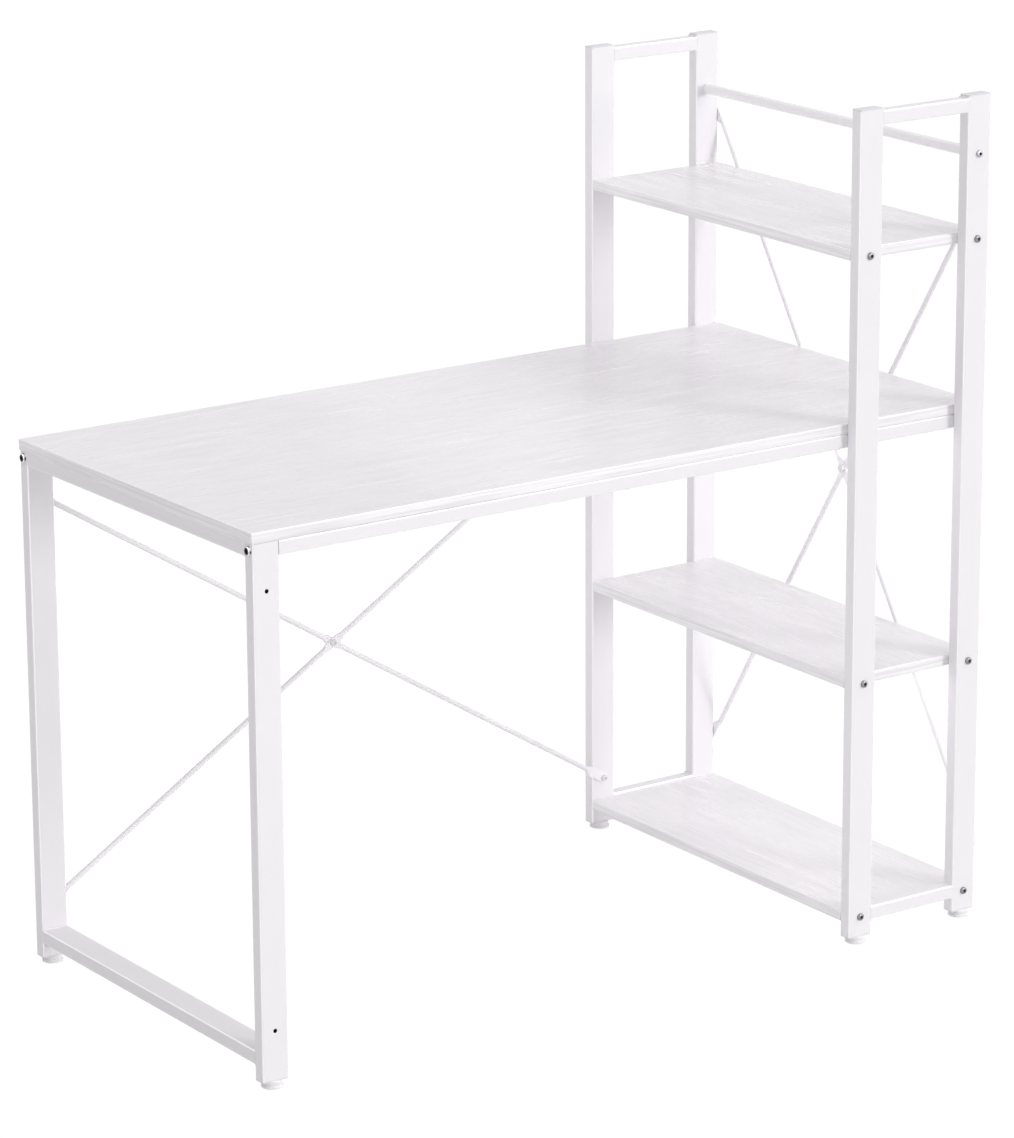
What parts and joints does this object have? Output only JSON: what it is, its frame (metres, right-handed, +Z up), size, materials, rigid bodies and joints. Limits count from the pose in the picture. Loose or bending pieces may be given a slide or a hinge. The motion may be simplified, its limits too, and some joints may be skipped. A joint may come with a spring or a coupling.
{
  "type": "desk with shelf tower",
  "caption": "White home-office desk with a steel tube frame, a laminated top, crossed brace rods and an open shelf tower at its right end, on levelling feet.",
  "frame": {"origin": "on the floor, under the middle of the desktop", "axes": "+X to the right, towards the shelf tower; +Y to the back, away from the sitter; +Z up"},
  "size_m": [1.2137, 0.65, 1.2],
  "materials": {
    "white_steel": "satin powder coat",
    "white_laminate": "white laminate with a faint grain",
    "edge_band": "white band, satin",
    "white_plastic": "moulded, matte",
    "foot_plastic": "moulded, matte",
    "zinc_steel": "bright zinc",
    "dark_steel": "dark nickel, satin"
  },
  "bodies": {
    "frame": {"left_front_leg": "white_steel", "left_back_leg": "white_steel", "left_top_rail": "white_steel", "left_bottom_rail": "white_steel", "front_apron": "white_steel", "back_apron": "white_steel", "front_left_post": "white_steel", "front_right_post": "white_steel", "back_left_post": "white_steel", "back_right_post": "white_steel", "front_top_rail": "white_steel", "front_bottom_rail": "white_steel", "back_top_rail": "white_steel", "back_bottom_rail": "white_steel", "guard_rail": "white_steel", "back_brace_rising": "white_steel", "back_brace_falling": "white_steel", "side_brace_rising": "white_steel", "side_brace_falling": "white_steel", "desktop": "white_laminate", "top_shelf": "white_laminate", "middle_shelf": "white_laminate", "bottom_shelf": "white_laminate", "desktop_edge_band": "edge_band", "top_shelf_edge_band": "edge_band", "middle_shelf_edge_band": "edge_band", "bottom_shelf_edge_band": "edge_band", "post_caps": "white_plastic", "leg_caps": "white_plastic", "apron_caps": "white_plastic", "foot_inserts": "white_plastic", "frame_bolts": "zinc_steel", "frame_nuts": "zinc_steel", "shelf_inserts": "zinc_steel", "rivet_nuts": "zinc_steel", "guard_rail_bolts": "zinc_steel", "apron_bolts": "zinc_steel", "brace_crossing_nuts": "zinc_steel", "desktop_screws": "zinc_steel", "brace_end_bolts": "white_steel", "brace_crossing_bolts": "white_steel", "shelf_bolts": "dark_steel"},
    "left_front_foot": {"left_front_foot_pad": "foot_plastic", "left_front_foot_stud": "zinc_steel"},
    "left_back_foot": {"left_back_foot_pad": "foot_plastic", "left_back_foot_stud": "zinc_steel"},
    "tower_front_left_foot": {"tower_front_left_foot_pad": "foot_plastic", "tower_front_left_foot_stud": "zinc_steel"},
    "tower_front_right_foot": {"tower_front_right_foot_pad": "foot_plastic", "tower_front_right_foot_stud": "zinc_steel"},
    "tower_back_left_foot": {"tower_back_left_foot_pad": "foot_plastic", "tower_back_left_foot_stud": "zinc_steel"},
    "tower_back_right_foot": {"tower_back_right_foot_pad": "foot_plastic", "tower_back_right_foot_stud": "zinc_steel"}
  },
  "joints": [
    {"name": "left_front_foot_screw", "type": "slide", "parent": "frame", "child": "left_front_foot", "axis": [0, 0, -1], "range_m": [0, 0.01]},
    {"name": "left_back_foot_screw", "type": "slide", "parent": "frame", "child": "left_back_foot", "axis": [0, 0, -1], "range_m": [0, 0.01]},
    {"name": "tower_front_left_foot_screw", "type": "slide", "parent": "frame", "child": "tower_front_left_foot", "axis": [0, 0, -1], "range_m": [0, 0.01]},
    {"name": "tower_front_right_foot_screw", "type": "slide", "parent": "frame", "child": "tower_front_right_foot", "axis": [0, 0, -1], "range_m": [0, 0.01]},
    {"name": "tower_back_left_foot_screw", "type": "slide", "parent": "frame", "child": "tower_back_left_foot", "axis": [0, 0, -1], "range_m": [0, 0.01]},
    {"name": "tower_back_right_foot_screw", "type": "slide", "parent": "frame", "child": "tower_back_right_foot", "axis": [0, 0, -1], "range_m": [0, 0.01]}
  ]
}
